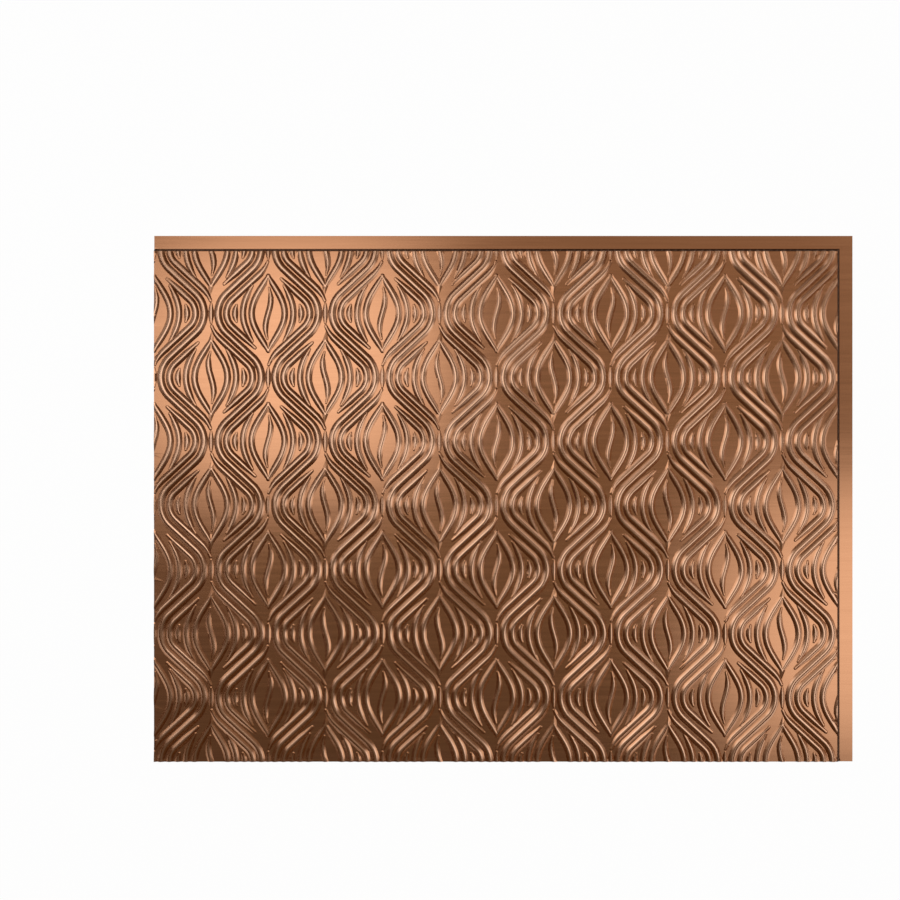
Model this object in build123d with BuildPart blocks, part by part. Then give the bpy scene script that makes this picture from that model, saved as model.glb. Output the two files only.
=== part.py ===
"""A heat-formed vinyl backsplash panel: one thin sheet with raised ogee ribs and lap flanges on two edges.

Millimetres. The panel lies face up: X runs along its long side, Y along its short side and Z out of its face.
The origin is the middle of its outline, on the plane that the back of the lap flanges lies on.
"""

from build123d import *

import os
from math import asin, atan2, hypot, tan

# Overall outline, with the lap flanges
PANEL_WIDTH = 615.95
PANEL_HEIGHT = 463.55

# The sheet
SHEET = 0.75

# Flat lap flanges along the top and right edges, which the next panels cover
LAP_WIDTH = 12.0
LAP_CLEARANCE = 0.15
LAP_WALL_RUN = 1.2

# The ogee trellis pressed into the face
CELL_COLUMNS = 6
CELL_ROWS = 4
NECK_GAP = 12.0
BEND_SHARE = 0.79
RIB_WIDTH = 6.4
RIB_RISE = 1.2

# The patterned field stands proud of the flanges, so that a neighbour's edge lies flush on them
lap_step = SHEET + LAP_CLEARANCE
field_width = PANEL_WIDTH - LAP_WIDTH
field_height = PANEL_HEIGHT - LAP_WIDTH
field_left = -PANEL_WIDTH / 2
field_bottom = -PANEL_HEIGHT / 2
field_centre = (-LAP_WIDTH / 2, -LAP_WIDTH / 2)

# The level top of the field, inside the sloping walls that lead down to the flanges
top_width = field_width - LAP_WALL_RUN
top_height = field_height - LAP_WALL_RUN
top_centre = (field_left + top_width / 2, field_bottom + top_height / 2)

# A rib zigzags about a straight line with rounded corners, and two neighbours come closest at a neck
rib_spacing = field_width / CELL_COLUMNS / 2
rib_count = 2 * CELL_COLUMNS
rib_swing = (rib_spacing - NECK_GAP) / 2
bend_length = field_height / CELL_ROWS / 2
bend_count = 2 * CELL_ROWS + 1
bend_radius = BEND_SHARE * (bend_length**2 / 4 + rib_swing**2) / (2 * rib_swing)
sideways = bend_radius - rib_swing
lean = asin(bend_radius / hypot(bend_length / 2, sideways)) - atan2(sideways, bend_length / 2)
corner_swing = tan(lean) * bend_length / 2
rib_plane = Plane.XY.offset(lap_step)

# Ribs: a low ridge swept along each zigzag, cut off level with the field's ends
with BuildPart() as rib_set:
    for rib in range(rib_count):
        middle_x = field_left + (rib + 0.5) * rib_spacing
        points = [(middle_x, field_bottom - bend_length / 2)]
        for bend in range(bend_count):
            side = 1 if (rib + bend) % 2 else -1
            points.append((middle_x + side * corner_swing, field_bottom + bend * bend_length))
        points.append((middle_x, field_bottom + (bend_count - 0.5) * bend_length))
        with BuildLine(rib_plane) as path:
            FilletPolyline(*points, radius=bend_radius)
        start = path.line @ 0
        heading = path.line % 0
        with BuildSketch(Plane(start, x_dir=Vector(0, 0, 1).cross(heading), z_dir=heading)) as section:
            with BuildLine():
                Polyline((-RIB_WIDTH / 2, 0), (0, RIB_RISE), (RIB_WIDTH / 2, 0), close=True)
            make_face()
        sweep(sections=section.sketch, path=path.line)
    with BuildSketch(rib_plane) as field_top:
        with Locations(top_centre):
            Rectangle(top_width, top_height)
    extrude(field_top.sketch, amount=RIB_RISE, mode=Mode.INTERSECT)

# Forming tool: the raised field with its sloping lap walls, and the ribs on it
with BuildPart() as tool:
    with BuildSketch():
        with Locations(field_centre):
            Rectangle(field_width, field_height)
    with BuildSketch(rib_plane):
        with Locations(top_centre):
            Rectangle(top_width, top_height)
    loft()
    add(rib_set.part)

# Panel: the flat sheet with the tool's shape raised in it, hollow behind by one sheet thickness
with BuildPart() as backsplash_panel:
    with BuildSketch():
        Rectangle(PANEL_WIDTH, PANEL_HEIGHT)
    extrude(amount=SHEET)
    with Locations((0, 0, SHEET)):
        add(tool.part)
    add(tool.part, mode=Mode.SUBTRACT)

backsplash_panel.part.label = "backsplash_panel"
os.makedirs("parts", exist_ok=True)
export_step(backsplash_panel.part, "parts/backsplash_panel.step")
print("solids", len(backsplash_panel.part.solids()), "volume", round(backsplash_panel.part.volume))
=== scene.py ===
# %% [markdown]
# # A formed vinyl backsplash panel in bronze
#
# The real panel is one thin vinyl sheet with a metallic bronze film on its face. Heat and vacuum
# draw the sheet over a tool, so its back is hollow wherever its face is raised. Two edges keep a flat
# lap flange that the next panels cover. This lesson rebuilds that sheet in Blender around the packed
# CAD model, which gives the size and the frame, and then lights it like a catalogue picture.

import bpy
import numpy as np
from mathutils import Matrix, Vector
from mathutils.geometry import delaunay_2d_cdt


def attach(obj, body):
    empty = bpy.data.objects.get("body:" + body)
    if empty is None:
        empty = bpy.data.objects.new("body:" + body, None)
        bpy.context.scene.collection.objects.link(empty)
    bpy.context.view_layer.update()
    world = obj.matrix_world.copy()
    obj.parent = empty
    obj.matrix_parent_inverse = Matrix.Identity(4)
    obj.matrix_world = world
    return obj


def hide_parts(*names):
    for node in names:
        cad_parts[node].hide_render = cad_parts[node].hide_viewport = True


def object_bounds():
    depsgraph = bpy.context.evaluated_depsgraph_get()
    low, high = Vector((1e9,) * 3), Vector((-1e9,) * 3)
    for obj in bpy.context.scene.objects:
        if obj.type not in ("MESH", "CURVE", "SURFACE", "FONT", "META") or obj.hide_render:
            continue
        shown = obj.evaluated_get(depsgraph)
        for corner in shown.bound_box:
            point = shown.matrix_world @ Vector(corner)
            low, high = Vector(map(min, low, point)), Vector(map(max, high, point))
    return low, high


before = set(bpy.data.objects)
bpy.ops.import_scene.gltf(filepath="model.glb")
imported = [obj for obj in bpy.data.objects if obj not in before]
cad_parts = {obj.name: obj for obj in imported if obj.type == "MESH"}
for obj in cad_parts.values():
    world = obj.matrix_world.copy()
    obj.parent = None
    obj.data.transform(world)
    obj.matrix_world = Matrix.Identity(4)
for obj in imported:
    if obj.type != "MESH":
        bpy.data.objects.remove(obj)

cad_box = [list(corner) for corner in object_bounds()]
print("CAD nodes", list(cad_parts), "box in metres", cad_box)

# %% [markdown]
# ## Sizes
#
# The drawing of the relief is easiest in millimetres, with the same named sizes as the CAD source.
# The outline is read from the CAD box, so that the skin can't grow out of it. The field is the
# patterned part inside the two flanges, and it is divided into equal repeats of the pattern.

# %% Sizes in millimetres
MM = 0.001
LAP_WIDTH = 12.0
LAP_WALL_RUN = 1.2
SHEET = 0.75
LAP_STEP = 0.9
COLUMNS = 6
ROWS = 4
NECK_GAP = 12.0
BEND_SHARE = 0.79
RIB_WIDTH = 6.4
RIB_RISE = 1.2

left, bottom = cad_box[0][0] / MM, cad_box[0][1] / MM
right, top = cad_box[1][0] / MM, cad_box[1][1] / MM
field_right, field_top = right - LAP_WIDTH, top - LAP_WIDTH
repeat_x = (field_right - left) / COLUMNS
repeat_y = (field_top - bottom) / ROWS
print(f"field {field_right - left:.2f} x {field_top - bottom:.2f} mm")
print(f"repeat {repeat_x:.2f} x {repeat_y:.2f} mm")

# %% [markdown]
# ## The rib line
#
# The main ribs are the ones in the CAD model: zigzags with rounded corners that lean apart and
# together, so that they close ogee cells between them. Each bend is an arc, and straight runs lead
# from one bend to the next. A function gives the rib's sideways place at any height, and every other
# line of the relief is drawn from it.

# %% Rib line as a function of height
swing = (repeat_x / 2 - NECK_GAP) / 2
half_bend = repeat_y / 4
bend_radius = BEND_SHARE * (half_bend**2 + swing**2) / (2 * swing)
sideways = bend_radius - swing
lean = np.arcsin(bend_radius / np.hypot(half_bend, sideways)) - np.arctan2(sideways, half_bend)


def cell_side(share):
    """Half width of a cell at a share of its height, from its lower neck to its upper one."""
    up = share * repeat_y
    from_neck = np.abs((up + repeat_y / 2) % repeat_y - repeat_y / 2)
    at_neck = from_neck <= half_bend
    from_bend = np.where(at_neck, from_neck, repeat_y / 2 - from_neck)
    rounded = swing - bend_radius + np.sqrt(np.maximum(bend_radius**2 - from_bend**2, 0))
    straight = (half_bend - from_bend) * np.tan(lean)
    offset = np.where(from_bend < bend_radius * np.sin(lean), rounded, straight)
    return repeat_x / 4 + np.where(at_neck, -offset, offset)


belly, neck = cell_side(np.array(0.5)), cell_side(np.array(0.0))
print(f"cell {2 * belly:.1f} mm wide at its belly, {2 * neck:.1f} mm at its neck")

# %% [markdown]
# ## How a line is drawn
#
# Each line of the ornament is a stroke: a row of points with a width and a height at each, thin at
# its ends and full in its body, as an engraver cuts it. Curve objects with a bevel could draw such
# lines too, but they would only lie on the sheet. As numbers, the strokes can share one height.

# %% Helpers for strokes
SAMPLES = 400
along = np.linspace(0, 1, SAMPLES)


def ease(value):
    """A smooth step from 0 to 1."""
    value = np.clip(value, 0, 1)
    return value**2 * (3 - 2 * value)


def drawn(line, width, rise, thin, taper):
    """A line with a width and a rise: thin at both ends, and full after a share of its length."""
    body = thin + (1 - thin) * ease(np.minimum(along, 1 - along) / taper)
    return (*line, width * body, rise * body)


def shifted(x, y, distance):
    """A line moved to the right of its own direction by an even distance."""
    run_x, run_y = np.gradient(x), np.gradient(y)
    run = np.hypot(run_x, run_y)
    return x + distance * run_y / run, y - distance * run_x / run


def evenly(stroke, spacing, turning=np.inf):
    """The same stroke with points at an even spacing, and closer together where it turns."""
    run_x, run_y = np.diff(stroke[0]), np.diff(stroke[1])
    steps = np.hypot(run_x, run_y) / spacing
    steps[1:] += np.abs(np.diff(np.unwrap(np.arctan2(run_y, run_x)))) / turning
    walked = np.concatenate([[0], np.cumsum(steps)])
    stops = np.linspace(0, walked[-1], max(int(round(walked[-1])), 3) + 1)
    return [np.interp(stops, walked, value) for value in stroke]


print(SAMPLES, "samples on each line as it is drawn")

# %% [markdown]
# ## The strokes of one cell
#
# The face carries a traditional ogee-leaf ornament. A second line runs inside each rib. In the middle
# of the cell stands a pointed leaf with a bent midrib, and a shorter line follows each side of the
# leaf. Small buds fill the gaps at the belly and at the necks. Places along a cell are shares of its
# height, and the other sizes are millimetres. Neighbouring cells share their ribs and mirror each
# other, so two cells make a repeat.

# %% Strokes
LINE_GAP = 7.6
RIB_LINE_SPAN = {1: (0.075, 0.82), -1: (0.18, 0.925)}
LEAF_FOOT, LEAF_LENGTH, LEAF_SHARE, LEAF_POINT = 0.205, 0.59, 0.33, 1.2
LEAF_LINE_SPAN = (0.19, 0.81)
BUD_FOOT, BUD_LENGTH, BUD_INSET, BUD_BOW = 0.435, 0.13, 15.0, 5.6
MIDRIB_FOOT, MIDRIB_LENGTH, MIDRIB_SWAY, MIDRIB_TURNS = 0.30, 0.40, 2.4, 0.9
NECK_BUD_LENGTH = 0.15

# Width, rise, fullness at the ends, and the share of the length over which a stroke swells
RIB = (RIB_WIDTH, RIB_RISE, 1.0, 0.5)
RIB_LINE = (5.8, 1.1, 0.45, 0.12)
BUD = (5.2, 1.0, 0.4, 0.4)
LEAF_LINE = (5.4, 1.05, 0.4, 0.22)
LEAF = (5.6, 1.05, 0.6, 0.15)
MIDRIB = (5.0, 0.95, 0.35, 0.25)
NECK_BUD = (4.6, 0.9, 0.4, 0.35)


def beside_rib(side, first, last, inward):
    """Part of a cell's rib, or of a line at an even distance inside it."""
    share = np.linspace(first, last, SAMPLES)
    return shifted(side * cell_side(share), share * repeat_y, -side * inward)


def beside_leaf(side, first, last, outward):
    """Part of a leaf's outline, or of a line at an even distance outside it."""
    share = np.linspace(first, last, SAMPLES)
    bulge = np.maximum(np.sin(np.pi * share), 0) ** LEAF_POINT
    up = (LEAF_FOOT + LEAF_LENGTH * share) * repeat_y
    return shifted(side * LEAF_SHARE * belly * bulge, up, side * outward)


def cell_strokes(flip):
    """All strokes of a cell about its lower neck, each as x, y, width and rise along it."""
    strokes = []
    for side in (-1, 1):
        if flip > 0:
            strokes.append(drawn(beside_rib(side, 0, 1, 0), *RIB))
        strokes.append(drawn(beside_rib(side, *RIB_LINE_SPAN[side * flip], LINE_GAP), *RIB_LINE))
        bud_x = side * (belly - BUD_INSET - BUD_BOW * (along - 0.5) ** 2)
        strokes.append(drawn((bud_x, (BUD_FOOT + BUD_LENGTH * along) * repeat_y), *BUD))
        strokes.append(drawn(beside_leaf(side, *LEAF_LINE_SPAN, LINE_GAP), *LEAF_LINE))
        strokes.append(drawn(beside_leaf(side, 0, 1, 0), *LEAF))
    midrib_x = flip * MIDRIB_SWAY * np.sin(2 * np.pi * MIDRIB_TURNS * (along - 0.5))
    strokes.append(drawn((midrib_x, (MIDRIB_FOOT + MIDRIB_LENGTH * along) * repeat_y), *MIDRIB))
    strokes.append(drawn((0 * along, NECK_BUD_LENGTH * (along - 0.5) * repeat_y), *NECK_BUD))
    return strokes


repeat_strokes = []
for flip, shift_x, shift_y in ((1, 0.0, 0.0), (-1, repeat_x / 2, repeat_y / 2)):
    for x, y, width, rise in cell_strokes(flip):
        repeat_strokes.append((x + shift_x, y + shift_y, width, rise))
print(len(repeat_strokes), "strokes in a repeat")

# %% [markdown]
# ## The height of the relief
#
# The height over one repeat is kept as a fine table. Each stroke is stamped into it with a rounded
# crown and straight flanks, because a bent flank would show a second bright line beside the crest.
# Where strokes meet, the higher one wins, so that lines join as they do on a pressed sheet, and a
# second table remembers which stroke won. The tables wrap round, because the repeats meet there.

# %% Height table of one repeat
TABLE_PITCH = 0.25
FINE_SPACING = 0.2
CROWN = 0.5
STEEPNESS = 1 / (1 - CROWN / 2)
BARE = 0.02

table_x = int(round(repeat_x / TABLE_PITCH))
table_y = int(round(repeat_y / TABLE_PITCH))
pitch_x, pitch_y = repeat_x / table_x, repeat_y / table_y
height_table = np.zeros((table_y, table_x))
owner_table = np.full((table_y, table_x), -1)


def section(across):
    """Height share across a stroke: a rounded crown, then straight flanks down to its feet."""
    across = np.clip(across, 0, 1)
    crown = 1 - STEEPNESS * across**2 / (2 * CROWN)
    return np.where(across < CROWN, crown, STEEPNESS * (1 - across))


for number, stroke in enumerate(repeat_strokes):
    x, y, width, rise = (value[:, None, None] for value in evenly(stroke, FINE_SPACING))
    reach = int(width.max() / 2 / TABLE_PITCH) + 2
    stamp = np.arange(-reach, reach + 1)
    column = np.round(x / pitch_x).astype(int) + stamp[None, None, :]
    row = np.round(y / pitch_y).astype(int) + stamp[None, :, None]
    distance = np.hypot(column * pitch_x - x, row * pitch_y - y)
    stamped = rise * section(distance / (width / 2))
    row, column = np.broadcast_arrays(row % table_y, column % table_x)
    own_height = np.zeros_like(height_table)
    np.maximum.at(own_height, (row.ravel(), column.ravel()), stamped.ravel())
    wins = own_height > height_table
    height_table[wins] = own_height[wins]
    owner_table[wins] = number
covered = 100 * (height_table > BARE).mean()
print(f"table {table_x} x {table_y}, relief covers {covered:.0f}% of the field")

# %% [markdown]
# ## The whole face as one height
#
# The field stands a little more than one sheet above the flanges, so that the edge of the next panel
# lies flush. A short sloping wall leads down to them, and the relief dies out just before that wall.
# On the other two edges the sheet is simply cut through the pattern.

# %% Height of the face
RELIEF_FADE = 0.7


def owner(x, y):
    """Number of the stroke on top at a place of the repeat, or -1 on bare ground."""
    column, row = np.round(x / pitch_x).astype(int), np.round(y / pitch_y).astype(int)
    return owner_table[row % table_y, column % table_x]


def relief(x, y):
    """Height of the relief at any place of the field, read between the points of the table."""
    across, up = (x - left) / pitch_x, (y - bottom) / pitch_y
    i, j = np.floor(across).astype(int), np.floor(up).astype(int)
    u, v = across - i, up - j
    i0, i1, j0, j1 = i % table_x, (i + 1) % table_x, j % table_y, (j + 1) % table_y
    low = height_table[j0, i0] * (1 - u) + height_table[j0, i1] * u
    high = height_table[j1, i0] * (1 - u) + height_table[j1, i1] * u
    return low * (1 - v) + high * v


def from_lap(x, y):
    """Distance from the foot of the lap wall towards the middle of the field."""
    return np.minimum(field_right - x, field_top - y)


def face_height(x, y):
    """Height of the face above the back of the flanges."""
    inward = from_lap(x, y)
    step = LAP_STEP * np.clip(inward / LAP_WALL_RUN, 0, 1)
    return SHEET + step + relief(x, y) * ease((inward - LAP_WALL_RUN) / RELIEF_FADE)


midrib_height = face_height(np.array([left + repeat_x / 2]), np.array([bottom + repeat_y]))[0]
print(f"crest of a leaf's midrib {midrib_height:.2f} mm above the back of the flanges")

# %% [markdown]
# ## Rows of points along the strokes
#
# A grid fine enough for these thin lines would need far too many faces, and its squares would cut
# across the lines and break up their highlights. Drawing thousands of curves by hand isn't possible
# either. So the points of the mesh follow the strokes: a row along the crest, a ring where the crown
# meets the flanks and a ring at the feet. Where two strokes meet, the foot moves up to the valley.

# %% Rows of one stroke
STOP_SPACING = 7.0
STOP_TURN = 0.30
GROUND = 0.012
FOOT_MARGIN = 0.25
SHORTEST_FLANK = 0.25
CROWN_REACH = 0.6
END_TURNS = (np.pi / 4, 0, -np.pi / 4)
probes = np.arange(0.1, 1.6, 0.05)


def stroke_rows(number, stroke):
    """Crest row, foot ring and crown ring of a stroke, and which of their points show."""
    x, y, width, rise = evenly(stroke, STOP_SPACING, STOP_TURN)
    heading = np.arctan2(np.gradient(y), np.gradient(x))
    stops = np.column_stack([x, y, width / 2, heading])
    far_end = [stops[-1] + (0, 0, 0, turn) for turn in END_TURNS]
    near_end = [stops[0] + (0, 0, 0, np.pi + turn) for turn in END_TURNS]
    one_side, other_side = stops + (0, 0, 0, np.pi / 2), stops[::-1] - (0, 0, 0, np.pi / 2)
    rays = np.concatenate([one_side, far_end, other_side, near_end])
    from_x, from_y, half, angle = rays.T[:, :, None]
    away = probes * half
    at_x, at_y = from_x + np.cos(angle) * away, from_y + np.sin(angle) * away
    on_top = owner(at_x, at_y)
    ground = (on_top < 0) | (relief(at_x + left, at_y + bottom) < GROUND)
    stopped = ground | (on_top != number)
    first = np.arange(len(rays)), np.argmax(stopped, axis=1)
    reach = away[first]
    shows = stopped[first] & (reach > SHORTEST_FLANK * half[:, 0])
    shows &= owner(from_x, from_y)[:, 0] == number
    outward = np.column_stack([np.cos(angle), np.sin(angle)])
    feet = rays[:, :2] + outward * (reach + np.where(ground[first], FOOT_MARGIN, 0))[:, None]
    crowns = rays[:, :2] + outward * np.minimum(CROWN * half[:, 0], CROWN_REACH * reach)[:, None]
    return (stops[:, :2], owner(x, y) == number, False), (feet, shows, True), (crowns, shows, True)


rows_of_strokes = [stroke_rows(number, stroke) for number, stroke in enumerate(repeat_strokes)]
wanted = sum(len(points) for rows in rows_of_strokes for points, shows, closed in rows)
print(wanted, "points wanted in a repeat")

# %% [markdown]
# ## Points and edges of one repeat
#
# Points that would fall on top of one another are merged, crests first. The edges between neighbours
# in a row are kept too, because they must stay edges of the mesh: only then do the flanks end at
# their feet, and the ground between stays level. A row may run on into the next repeat, so an edge
# also remembers how many repeats its far end lies away.

# %% Merge the points and list the edges
NEAREST = 0.75
repeat = np.array([repeat_x, repeat_y])
bin_count = (repeat / NEAREST).astype(int)
bins = {}
repeat_points = []


def merged(point):
    """Number of the kept point at or close to a point, and how many repeats away it lies."""
    home = np.floor(point % repeat / repeat * bin_count).astype(int)
    around = [tuple((home + (i, j)) % bin_count) for i in (-1, 0, 1) for j in (-1, 0, 1)]
    for near_by in (near_by for cell in around for near_by in bins.get(cell, [])):
        apart = point - repeat_points[near_by]
        away = np.round(apart / repeat)
        if np.hypot(*(apart - away * repeat)) < NEAREST:
            return near_by, int(away[0]), int(away[1])
    bins.setdefault(tuple(home % bin_count), []).append(len(repeat_points))
    repeat_points.append(point % repeat)
    away = np.floor(point / repeat)
    return len(repeat_points) - 1, int(away[0]), int(away[1])


repeat_edges = set()
for row_kind in zip(*rows_of_strokes):
    for points, shows, closed in row_kind:
        row = [merged(point) if shown else None for point, shown in zip(points, shows)]
        for near, far in zip(row, row[1:] + row[:1] if closed else row[1:]):
            if near and far and near != far:
                repeat_edges.add((near[0], far[0], far[1] - near[1], far[2] - near[2]))
repeat_points = np.array(repeat_points)
repeat_edges = np.array(sorted(repeat_edges))
print(len(repeat_points), "points and", len(repeat_edges), "edges kept in a repeat")

# %% [markdown]
# ## The field
#
# An array modifier would copy a finished mesh, with a seam at every joint. Here the points and edges
# are copied before there are any faces, so the sheet is whole. Points close to the edges and the lap
# walls are left out, to make room for straight rows there.

# %% Lay out the repeats
EDGE_GAP = 0.6
wall_gap = LAP_WALL_RUN + RELIEF_FADE + EDGE_GAP

tiles = np.array([(i, j) for i in range(COLUMNS) for j in range(ROWS)])
laid = (left, bottom) + (tiles[:, None, :] * repeat + repeat_points).reshape(-1, 2)
kept = (laid > (left + EDGE_GAP, bottom + EDGE_GAP)).all(axis=1)
kept &= (laid < (field_right - wall_gap, field_top - wall_gap)).all(axis=1)
kept_number = np.where(kept, np.cumsum(kept) - 1, -1).reshape(len(tiles), -1)
field_edges = []
for tile, (i, j) in enumerate(tiles):
    to_i, to_j = i + repeat_edges[:, 2], j + repeat_edges[:, 3]
    on_field = (to_i >= 0) & (to_i < COLUMNS) & (to_j >= 0) & (to_j < ROWS)
    near = kept_number[tile, repeat_edges[on_field, 0]]
    far = kept_number[to_i[on_field] * ROWS + to_j[on_field], repeat_edges[on_field, 1]]
    field_edges += np.column_stack([near, far])[(near >= 0) & (far >= 0)].tolist()
print(int(kept.sum()), "points and", len(field_edges), "edges on the field")

# %% [markdown]
# ## The walls and the outline
#
# Straight rows of points follow the lap walls, close together where the wall bends into the field and
# the flange. More rows go round the outline: closely along the two edges that cut through the pattern,
# and widely along the flat flanges.

# %% Rows along the walls and round the outline
CUT_SPACING = 1.4
FLANGE_SPACING = 6.0
WALL_BEND = 0.15
WALL_ROWS = ((-2 * WALL_BEND, FLANGE_SPACING), (0.0, FLANGE_SPACING), (WALL_BEND, FLANGE_SPACING),
             (LAP_WALL_RUN - WALL_BEND, CUT_SPACING), (LAP_WALL_RUN, CUT_SPACING),
             (LAP_WALL_RUN + RELIEF_FADE, CUT_SPACING))


def row_of_points(start, end, spacing):
    """Points from start up to end, without the end itself."""
    start, end = np.array(start), np.array(end)
    count = max(int(np.ceil(np.linalg.norm(end - start) / spacing)), 1)
    return start + (end - start) * (np.arange(count) / count)[:, None]


corners = [(left, bottom), (right, bottom), (right, top), (left, top)]
spacings = (CUT_SPACING, FLANGE_SPACING, FLANGE_SPACING, CUT_SPACING)
straight_rows = [row_of_points(corners[k], corners[(k + 1) % 4], spacings[k]) for k in range(4)]
for inward, spacing in WALL_ROWS:
    wall_x, wall_y = field_right - inward, field_top - inward
    straight_rows.append(row_of_points((wall_x, wall_y), (wall_x, bottom), spacing))
    straight_rows.append(row_of_points((wall_x, wall_y), (left, wall_y), spacing)[1:])
    straight_rows.append(np.array([(wall_x, bottom), (left, wall_y)]))
sheet_points = np.concatenate([laid[kept]] + straight_rows)
print(len(sheet_points), "points on the sheet")

# %% [markdown]
# ## The skin
#
# A Delaunay triangulation joins all the points into one sheet of well-shaped triangles, and keeps the
# edges of the rows. Filling faces by hand would give long thin triangles, which a metal finish shows.

# %% Triangles of the whole sheet
SAME_PLACE = 1e-4

found = delaunay_2d_cdt([Vector(point) for point in sheet_points], field_edges, [], 0, SAME_PLACE)
flat = np.array([point[:] for point in found[0]])
triangles = found[2]
print(len(flat), "points,", len(triangles), "triangles on one side of the sheet")

# %% [markdown]
# ## Thickness
#
# The triangles are first lifted to the height of the back. Then the sheet gets its thickness as by
# hand: everything is selected in edit mode and extruded straight up by one sheet. The lower copy is
# the hollow back, the upper one is the face, and the extrusion closes the cut edge between them.

# %% Extrude the sheet
bpy.ops.object.select_all(action="DESELECT")
back = face_height(flat[:, 0], flat[:, 1]) - SHEET
skin_mesh = bpy.data.meshes.new("backsplash_skin")
skin_mesh.from_pydata((np.column_stack([flat, back]) * MM).tolist(), [], triangles)
skin = bpy.data.objects.new("backsplash_skin", skin_mesh)
bpy.context.collection.objects.link(skin)
bpy.context.view_layer.objects.active = skin
skin.select_set(True)
bpy.ops.object.mode_set(mode="EDIT")
bpy.ops.mesh.select_all(action="SELECT")
bpy.ops.mesh.extrude_region_move(TRANSFORM_OT_translate={"value": (0, 0, SHEET * MM)})
bpy.ops.mesh.select_all(action="SELECT")
bpy.ops.mesh.normals_make_consistent(inside=False)
bpy.ops.object.mode_set(mode="OBJECT")
print(len(skin.data.vertices), "vertices,", len(skin.data.polygons), "faces on the closed sheet")

# %% [markdown]
# ## What the mesh holds
#
# The next steps need the mesh as arrays: where its points are, which point each corner of a face uses,
# and which way each face looks. A face belongs to the face of the panel, to its back or to its cut
# edge by that direction.

# %% Read the mesh
LEVEL = 0.9995
UPRIGHT = 0.02


def read(items, name, width=1, kind=float):
    """One property of all items of the mesh, as an array with a row for each item."""
    values = np.empty(len(items) * width, dtype=kind)
    items.foreach_get(name, values)
    return values.reshape(-1, width) if width > 1 else values


point = read(skin.data.vertices, "co", 3) / MM
corner_point = read(skin.data.loops, "vertex_index", kind=int)
face_up = read(skin.data.polygons, "normal", 3)
centre = read(skin.data.polygons, "center", 3) / MM
corner_face = np.repeat(np.arange(len(face_up)), read(skin.data.polygons, "loop_total", kind=int))
levelness = np.abs(face_up[:, 2])
cut_edge = levelness < UPRIGHT
print("facing up", int((face_up[:, 2] > UPRIGHT).sum()), "down", int((face_up[:, 2] < -UPRIGHT).sum()),
      "cut edge", int(cut_edge.sum()))

# %% [markdown]
# ## Shading normals
#
# Metal shows every unevenness of its normals. Smooth shading would blend a ridge with the level ground
# beside it, so each corner of a face gets its own normal instead. On a ridge it comes from the section
# of the stroke, at the lap walls from the height of the face, and the ground and the cut edge stay flat.

# %% Normals of a stroke and of the lap walls
PROBE = 0.15
TINY = 1e-6


def unit(slope_x, slope_y):
    """Unit normals of a surface that falls by these slopes along X and Y."""
    normal = np.column_stack([slope_x, slope_y, np.ones_like(slope_x)])
    return normal / np.linalg.norm(normal, axis=1)[:, None]


def stroke_normal(x, y, stroke):
    """Normal of a stroke's own ridge at places of the repeat, from the nearest point of its line."""
    line_x, line_y, width, rise = evenly(stroke, FINE_SPACING)
    apart_x = (x[:, None] - line_x + repeat_x / 2) % repeat_x - repeat_x / 2
    apart_y = (y[:, None] - line_y + repeat_y / 2) % repeat_y - repeat_y / 2
    nearest = np.argmin(apart_x**2 + apart_y**2, axis=1)
    row = np.arange(len(x))
    apart_x, apart_y = apart_x[row, nearest], apart_y[row, nearest]
    run_x, run_y = np.gradient(line_x)[nearest], np.gradient(line_y)[nearest]
    run = np.hypot(run_x, run_y)
    across = (apart_y * run_x - apart_x * run_y) / run
    at_end = (nearest == 0) | (nearest == len(line_x) - 1)
    distance = np.maximum(np.where(at_end, np.hypot(apart_x, apart_y), np.abs(across)), TINY)
    out_x = np.where(at_end, apart_x / distance, -np.sign(across) * run_y / run)
    out_y = np.where(at_end, apart_y / distance, np.sign(across) * run_x / run)
    half = width[nearest] / 2
    slope = rise[nearest] / half * STEEPNESS * np.minimum(distance / half / CROWN, 1)
    return unit(slope * out_x, slope * out_y)


def wall_normal(x, y):
    """Normal of the face from its slope over a short distance; bare ground is exactly level."""
    fall_x = (face_height(x - PROBE, y) - face_height(x + PROBE, y)) / (2 * PROBE)
    fall_y = (face_height(x, y - PROBE) - face_height(x, y + PROBE)) / (2 * PROBE)
    inward = from_lap(x, y)
    level = (relief(x, y) < BARE) & ((inward > LAP_WALL_RUN + PROBE) | (inward < -PROBE))
    return unit(np.where(level, 0, fall_x), np.where(level, 0, fall_y))


wall_up = wall_normal(np.array([field_right - LAP_WALL_RUN / 2]), np.array([0.0]))[0, 2]
print(f"lap wall leans {np.degrees(np.arccos(wall_up)):.0f} degrees")

# %% [markdown]
# ## Set the normals
#
# Each tilted face is given to the stroke on top at its centre. The back takes the same normals as the
# face above it, turned round.

# %% Custom normals
facing_up = face_up * np.sign(face_up[:, 2:])
by_wall = from_lap(centre[:, 0], centre[:, 1]) < LAP_WALL_RUN + RELIEF_FADE
tilted = (levelness <= LEVEL) & (levelness > UPRIGHT) & ~by_wall
face_owner = owner(centre[:, 0] - left, centre[:, 1] - bottom)

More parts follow.
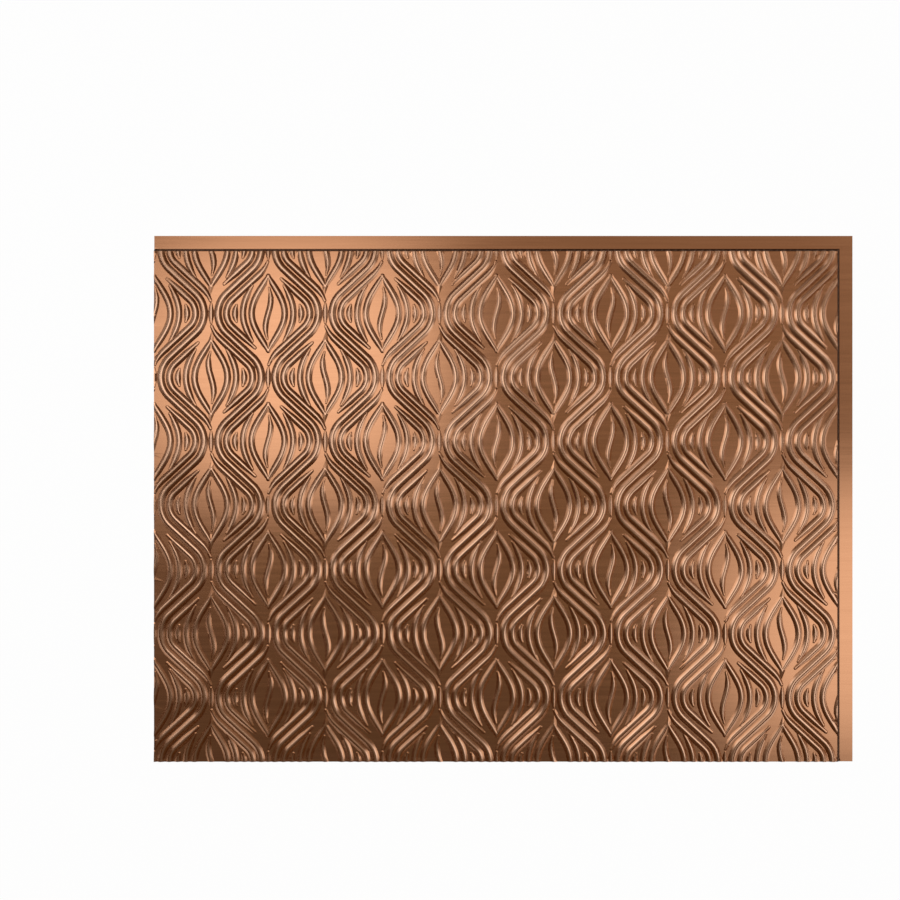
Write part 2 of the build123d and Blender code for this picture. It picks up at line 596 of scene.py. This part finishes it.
normals = np.where(levelness[:, None] > LEVEL, (0.0, 0.0, 1.0), facing_up)[corner_face]
wall_corner = by_wall[corner_face]
wall_point = point[corner_point[wall_corner]]
normals[wall_corner] = wall_normal(wall_point[:, 0], wall_point[:, 1])
for number, stroke in enumerate(repeat_strokes):
    own = np.flatnonzero((tilted & (face_owner == number))[corner_face])
    used, use = np.unique(corner_point[own], return_inverse=True)
    normals[own] = stroke_normal(point[used, 0] - left, point[used, 1] - bottom, stroke)[use]
turned = normals * np.sign(face_up[corner_face, 2:])
normals = np.where(cut_edge[corner_face, None], face_up[corner_face], turned)
skin.data.shade_smooth()
skin.data.normals_split_custom_set(normals.tolist())
print(int(tilted.sum()), "faces on the ridges,", int(by_wall.sum()), "on the flanges and their walls")

# %% [markdown]
# ## Where the film is paler
#
# The film is drawn thin over the ridges and is paler there, and that paler tone is also a painted sheen
# for the cream tint of their highlights. A material can't know how high a point stands above the
# ground, so the mesh carries that as an attribute: 0 on the ground, 1 on a rib's crest.

# %% Height attribute
lifted = face_height(point[:, 0], point[:, 1]) - SHEET - LAP_STEP
raised = skin.data.attributes.new("raised", "FLOAT", "POINT")
raised.data.foreach_set("value", np.clip(lifted / RIB_RISE, 0, 1).astype(np.float32))
print(f"highest ridge {lifted.max():.2f} mm above the ground of the field")

# %% [markdown]
# ## Shader maths
#
# Node trees are written here as plain sums. One small class wraps a socket, and its operators add the
# Math nodes. Its `node` method adds any other node: first the settings, then the inputs, by name or, as
# i0 or i1, by number. A wire with no socket yet is the start of a tree.


# %% Socket class
class Wire:
    """An output socket that can be used in sums."""

    def __init__(self, tree, socket=None):
        self.tree, self.socket = tree, socket

    def node(self, kind, settings=None, output=0, **inputs):
        """The output of a new node, after its settings and inputs are set or linked."""
        made = self.tree.nodes.new(kind)
        for name, value in (settings or {}).items():
            setattr(made, name, value)
        for name, value in inputs.items():
            numbered = name[0] == "i" and name[1:].isdigit()
            socket = made.inputs[int(name[1:]) if numbered else name.replace("_", " ")]
            if isinstance(value, Wire):
                value.feed(socket)
            else:
                socket.default_value = value
        return Wire(self.tree, made.outputs[output])

    def also(self, output):
        """Another output of the same node."""
        return Wire(self.tree, self.socket.node.outputs[output])

    def feed(self, socket):
        """Link this output to an input."""
        self.tree.links.new(self.socket, socket)

    def ramp(self, low, high, start=0.0, end=1.0, shape="SMOOTHSTEP"):
        """A value that goes from start to end as this one goes from low to high."""
        return self.node("ShaderNodeMapRange", {"interpolation_type": shape}, Value=self,
                         From_Min=low, From_Max=high, To_Min=start, To_Max=end)

    def blend(self, first, second):
        """A colour between two, with this value as the share of the second."""
        return self.node("ShaderNodeMix", {"data_type": "RGBA"}, output=2, i0=self, i6=first, i7=second)

    def maths(self, operation, first, second=0.0):
        return self.node("ShaderNodeMath", {"operation": operation}, i0=first, i1=second)

    def __add__(self, other):
        return self.maths("ADD", self, other)

    def __radd__(self, other):
        return self.maths("ADD", other, self)

    def __sub__(self, other):
        return self.maths("SUBTRACT", self, other)

    def __rsub__(self, other):
        return self.maths("SUBTRACT", other, self)

    def __mul__(self, other):
        return self.maths("MULTIPLY", self, other)

    def __rmul__(self, other):
        return self.maths("MULTIPLY", other, self)


def new_material(name):
    """A material, its Principled shader and a wire to start its tree from."""
    material = bpy.data.materials.new(name)
    material.use_nodes = True
    return material, material.node_tree.nodes["Principled BSDF"], Wire(material.node_tree)


def ray_kinds(start):
    """Values that are 1 on what the camera sees, and on what is mirrored or seen through something."""
    camera_ray = start.node("ShaderNodeLightPath", output="Is Camera Ray")
    return camera_ray, camera_ray.also("Is Glossy Ray") + camera_ray.also("Is Transmission Ray")


# %% [markdown]
# ## Bronze film
#
# The face is a metal-like film with a fine brushed grain along the panel, seen best on the bare
# flanges. Two layers of long stretched noise give its streaks of colour and gloss. The film is paler
# where it is drawn over the ridges, and that paler tone is partly a painted sheen for their highlights.
# A near-black line of painted shade lies along the lap walls, where the step's shadow falls. A bump
# isn't needed, because the relief is in the mesh.

# %% Bronze film material
BROAD_GRAIN, BROAD_DETAIL, BROAD_SHARE = (5.0, 240.0, 1.0), 3.0, 0.6
FINE_GRAIN, FINE_DETAIL, FINE_SHARE = (16.0, 700.0, 1.0), 2.0, 0.4
GRAIN_RANGE, RIDGE_RANGE = (0.3, 0.7), (0.15, 0.70)
NOISE_ROUGHNESS = 0.6
GRAIN_DARK, GRAIN_PALE = (0.555, 0.273, 0.145, 1), (0.685, 0.347, 0.189, 1)
# The near-black colour below is painted shade, for the shadow in the lap wall's step.
STRETCHED_FILM_AND_SHEEN, CREASE_SHADE_COLOUR = (0.75, 0.458, 0.306, 1), (0.06, 0.024, 0.010, 1)
CREASE_SHADE_CORE, CREASE_SHADE_EDGE, CREASE_SHADE_STRENGTH = 0.9 * MM, 1.45 * MM, 0.95
FILM_GLOSS, GRAIN_GLOSS = 0.19, 0.06

film, shader, start = new_material("bronze_film")
place = start.node("ShaderNodeTexCoord", output="Object")


def streaks(scale, detail):
    """Noise stretched along the panel."""
    stretched = place.node("ShaderNodeMapping", Vector=place, Scale=scale)
    return place.node("ShaderNodeTexNoise", Vector=stretched, Scale=1.0, Detail=detail,
                      Roughness=NOISE_ROUGHNESS)


broad, fine = streaks(BROAD_GRAIN, BROAD_DETAIL), streaks(FINE_GRAIN, FINE_DETAIL)
grain = (broad * BROAD_SHARE + fine * FINE_SHARE).ramp(*GRAIN_RANGE, shape="LINEAR")
raised_share = start.node("ShaderNodeAttribute", {"attribute_name": "raised"}, output="Fac")
# The pale ridge tone is partly the thin-drawn film and partly a painted sheen for the cream of the
# ridges' highlights.
on_ridge = raised_share.ramp(*RIDGE_RANGE)
tone = on_ridge.blend(grain.blend(GRAIN_DARK, GRAIN_PALE), STRETCHED_FILM_AND_SHEEN)
# Painted shade: a near-black colour along the lap wall, where the step's shadow falls.
across = place.node("ShaderNodeSeparateXYZ", Vector=place)
inward = place.maths("MINIMUM", field_right * MM - across, field_top * MM - across.also("Y"))
from_wall = place.maths("ABSOLUTE", inward - LAP_WALL_RUN / 2 * MM)
painted_crease_shade = from_wall.ramp(CREASE_SHADE_CORE, CREASE_SHADE_EDGE, CREASE_SHADE_STRENGTH, 0.0)
painted_crease_shade.blend(tone, CREASE_SHADE_COLOUR).feed(shader.inputs["Base Color"])
(FILM_GLOSS + grain * GRAIN_GLOSS).feed(shader.inputs["Roughness"])
shader.inputs["Metallic"].default_value = 1.0
shader.inputs["Coat Weight"].default_value = 0.2
shader.inputs["Coat Roughness"].default_value = 0.2
print(len(film.node_tree.nodes), "nodes in the film")

# %% [markdown]
# ## Bare vinyl
#
# The back and the cut edge show the vinyl itself: a plain warm grey, matt, with a faint cloudy tone
# from the sheet's extrusion.

# %% Vinyl material
VINYL_DARK, VINYL_PALE = (0.34, 0.30, 0.26, 1), (0.42, 0.38, 0.33, 1)
VINYL_GLOSS, CLOUD_GLOSS = 0.5, 0.15
CLOUD_SCALE, CLOUD_DETAIL = 40.0, 4.0

vinyl, shader, start = new_material("bare_vinyl")
place = start.node("ShaderNodeTexCoord", output="Object")
cloud = place.node("ShaderNodeTexNoise", Vector=place, Scale=CLOUD_SCALE, Detail=CLOUD_DETAIL,
                   Roughness=NOISE_ROUGHNESS)
cloud.blend(VINYL_DARK, VINYL_PALE).feed(shader.inputs["Base Color"])
(VINYL_GLOSS + cloud * CLOUD_GLOSS).feed(shader.inputs["Roughness"])
print(len(vinyl.node_tree.nodes), "nodes in the vinyl")

# %% [markdown]
# ## Put the materials on the sheet
#
# The film is on every face that looks up, and all the others are bare vinyl. The finished skin then
# stands for the CAD node: it rides on the same body and takes its place.

# %% Materials and hand-over of the skin
skin.data.materials.append(film)
skin.data.materials.append(vinyl)
skin.data.polygons.foreach_set("material_index", (face_up[:, 2] < UPRIGHT).astype(np.int32))
skin.data.update()
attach(skin, "root")
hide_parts("backsplash_panel")
print("materials", [material.name for material in skin.data.materials])

# %% [markdown]
# ## Floor and background
#
# The panel lies on a plain white floor. To the camera and to reflections most of its white is a glow
# of its own, so that it reads as a white background, and the rest is lit, so that it keeps a shadow.

# %% Floor
FLOOR_SIZE, FLOOR_DROP = 12.0, 0.0004
GLOW_SHARE = 0.98

bpy.ops.object.select_all(action="DESELECT")
bpy.ops.mesh.primitive_plane_add(size=FLOOR_SIZE, location=(0, 0, -FLOOR_DROP))
floor = bpy.context.object
floor.name = "floor"
white, shader, start = new_material("white_floor")
shader.inputs["Base Color"].default_value = (0.85, 0.85, 0.85, 1)
shader.inputs["Roughness"].default_value = 0.9
shader.inputs["Specular IOR Level"].default_value = 0.0
camera_ray, mirrored_ray = ray_kinds(start)
glow = start.node("ShaderNodeEmission", Color=(1, 1, 1, 1), Strength=1.0)
lit = Wire(start.tree, shader.outputs["BSDF"])
surface = start.node("ShaderNodeMixShader", i0=(camera_ray + mirrored_ray) * GLOW_SHARE, i1=lit, i2=glow)
surface.feed(white.node_tree.nodes["Material Output"].inputs["Surface"])
floor.data.materials.append(white)
print(f"floor {FLOOR_SIZE:.0f} m wide, {FLOOR_DROP / MM:.1f} mm below the panel")

# %% [markdown]
# ## The room
#
# A sheet of metal shows what is around and above it. Overhead is a soft ceiling, brighter towards the
# panel's top edge, and lower down the walls are dim and brown, a little brighter to the right, so that
# the flanks of the ridges stay dark. A pale belt stands round the horizon. The camera sees plain white
# behind the panel, and the metal mirrors that white as far up as the belt goes.

# %% World
CEILING_LEVEL, CEILING_EAST, CEILING_NORTH, CEILING_LEAST = 0.255, 0.08, 0.43, 0.12
WALL_LEVEL, WALL_EAST = 0.075, 0.16
CEILING_GREEN, CEILING_BLUE = 0.80, 0.62
WALL_GREEN, WALL_BLUE = 0.44, 0.11
BELT = (0.75, 0.62, 0.48, 1)
CEILING_RANGE, EAST_RANGE, BELT_RANGE = (0.76, 0.90), (0.35, 0.62), (0.22, 0.36)

world = bpy.data.worlds.new("dim_room")
world.use_nodes = True
start = Wire(world.node_tree)
sky = start.node("ShaderNodeTexCoord", output="Generated")
east = sky.node("ShaderNodeSeparateXYZ", Vector=sky)
north, upward = east.also("Y"), east.also("Z")
level = sky.maths("MAXIMUM", CEILING_LEVEL + east * CEILING_EAST + north * CEILING_NORTH, CEILING_LEAST)
ceiling = sky.node("ShaderNodeCombineXYZ", X=level, Y=level * CEILING_GREEN, Z=level * CEILING_BLUE)
low_down = upward.ramp(*EAST_RANGE, 1.0, 0.0)
level = WALL_LEVEL + low_down * sky.maths("MAXIMUM", east, 0.0) * WALL_EAST
walls = sky.node("ShaderNodeCombineXYZ", X=level, Y=level * WALL_GREEN, Z=level * WALL_BLUE)
horizon = upward.ramp(*BELT_RANGE, 1.0, 0.0)
surround = horizon.blend(upward.ramp(*CEILING_RANGE).blend(walls, ceiling), BELT)
room = sky.node("ShaderNodeBackground", Color=surround, Strength=1.0)
white_back = sky.node("ShaderNodeBackground", Color=(1, 1, 1, 1), Strength=1.0)
camera_ray, mirrored_ray = ray_kinds(start)
behind = sky.node("ShaderNodeMixShader", i0=camera_ray + mirrored_ray * horizon, i1=room, i2=white_back)
behind.feed(world.node_tree.nodes["World Output"].inputs["Surface"])
bpy.context.scene.world = world
print(len(world.node_tree.nodes), "nodes in the world")

# %% [markdown]
# ## Lamps
#
# Two large soft boxes hang over the panel, one towards its upper left and one towards its lower right.
# Where the flat ground mirrors a box it is bright and its ridges are drawn in dark lines; elsewhere the
# ground is brown. Five strips hang further out, where only the flanks of the ridges can see them, and
# draw those as bright lines. Every lamp fades towards its rim, as a real soft box does.

# %% Soft boxes and strips
CAMERA_UP = 0.85
ENERGY_PER_AREA = 4.0
SOFT_RIM = 0.7

# Name, place over the panel, size, radiance and turn in degrees
LAMPS = (
    ("soft_box_upper_left", (-0.335, 0.195), (0.68, 0.56), 1.02, 0.0),
    ("soft_box_lower_right", (0.82, -0.26), (1.00, 0.62), 0.92, 0.0),
    ("strip_upper_left", (-0.56, 0.835), (1.42, 0.48), 1.0, 31.0),
    ("strip_left", (-0.92, 0.10), (0.42, 0.50), 0.75, 0.0),
    ("strip_far_left", (-1.33, 0.29), (0.48, 0.42), 1.0, 0.0),
    ("strip_right", (0.97, 0.48), (0.42, 0.90), 0.7, 0.0),
    ("strip_upper_right", (1.75, 1.30), (1.80, 0.80), 0.88, 35.0),
)


def soft_box(name, over, size, radiance, turn):
    """A rectangular lamp at camera height over a place, turned by an angle, brightest in its middle."""
    lamp = bpy.data.lights.new(name, "AREA")
    lamp.shape = "RECTANGLE"
    lamp.size, lamp.size_y = size
    lamp.energy = ENERGY_PER_AREA * size[0] * size[1] * radiance
    lamp.use_nodes = True
    spot = Wire(lamp.node_tree).node("ShaderNodeNewGeometry", output="Parametric")
    u = spot.node("ShaderNodeSeparateXYZ", Vector=spot)
    v = u.also("Y")
    bulge = 16 * u * (1 - u) * v * (1 - v)
    bulge.ramp(0.0, SOFT_RIM).feed(lamp.node_tree.nodes["Emission"].inputs["Strength"])
    holder = bpy.data.objects.new(name, lamp)
    holder.location = (*over, CAMERA_UP)
    holder.rotation_euler = (0, 0, np.radians(turn))
    bpy.context.collection.objects.link(holder)


for lamp_values in LAMPS:
    soft_box(*lamp_values)
print(len(LAMPS), "lamps at a height of", CAMERA_UP, "m")

# %% [markdown]
# ## Camera
#
# The panel is seen straight on, so the camera looks straight down. It stands a little to one side,
# which puts the panel right of and below the middle of the picture.

# %% Camera
CAMERA_X, CAMERA_Y = -0.0471, 0.0429
VIEW_WIDTH = 0.7947

eye = bpy.data.cameras.new("camera")
eye.sensor_width = 36.0
eye.lens = eye.sensor_width * CAMERA_UP / VIEW_WIDTH
camera = bpy.data.objects.new("camera", eye)
camera.location = (CAMERA_X, CAMERA_Y, CAMERA_UP)
bpy.context.collection.objects.link(camera)
bpy.context.scene.camera = camera
bpy.context.scene.view_settings.view_transform = "Standard"
print(f"lens {eye.lens:.1f} mm")

# %% Finish
bpy.context.view_layer.update()
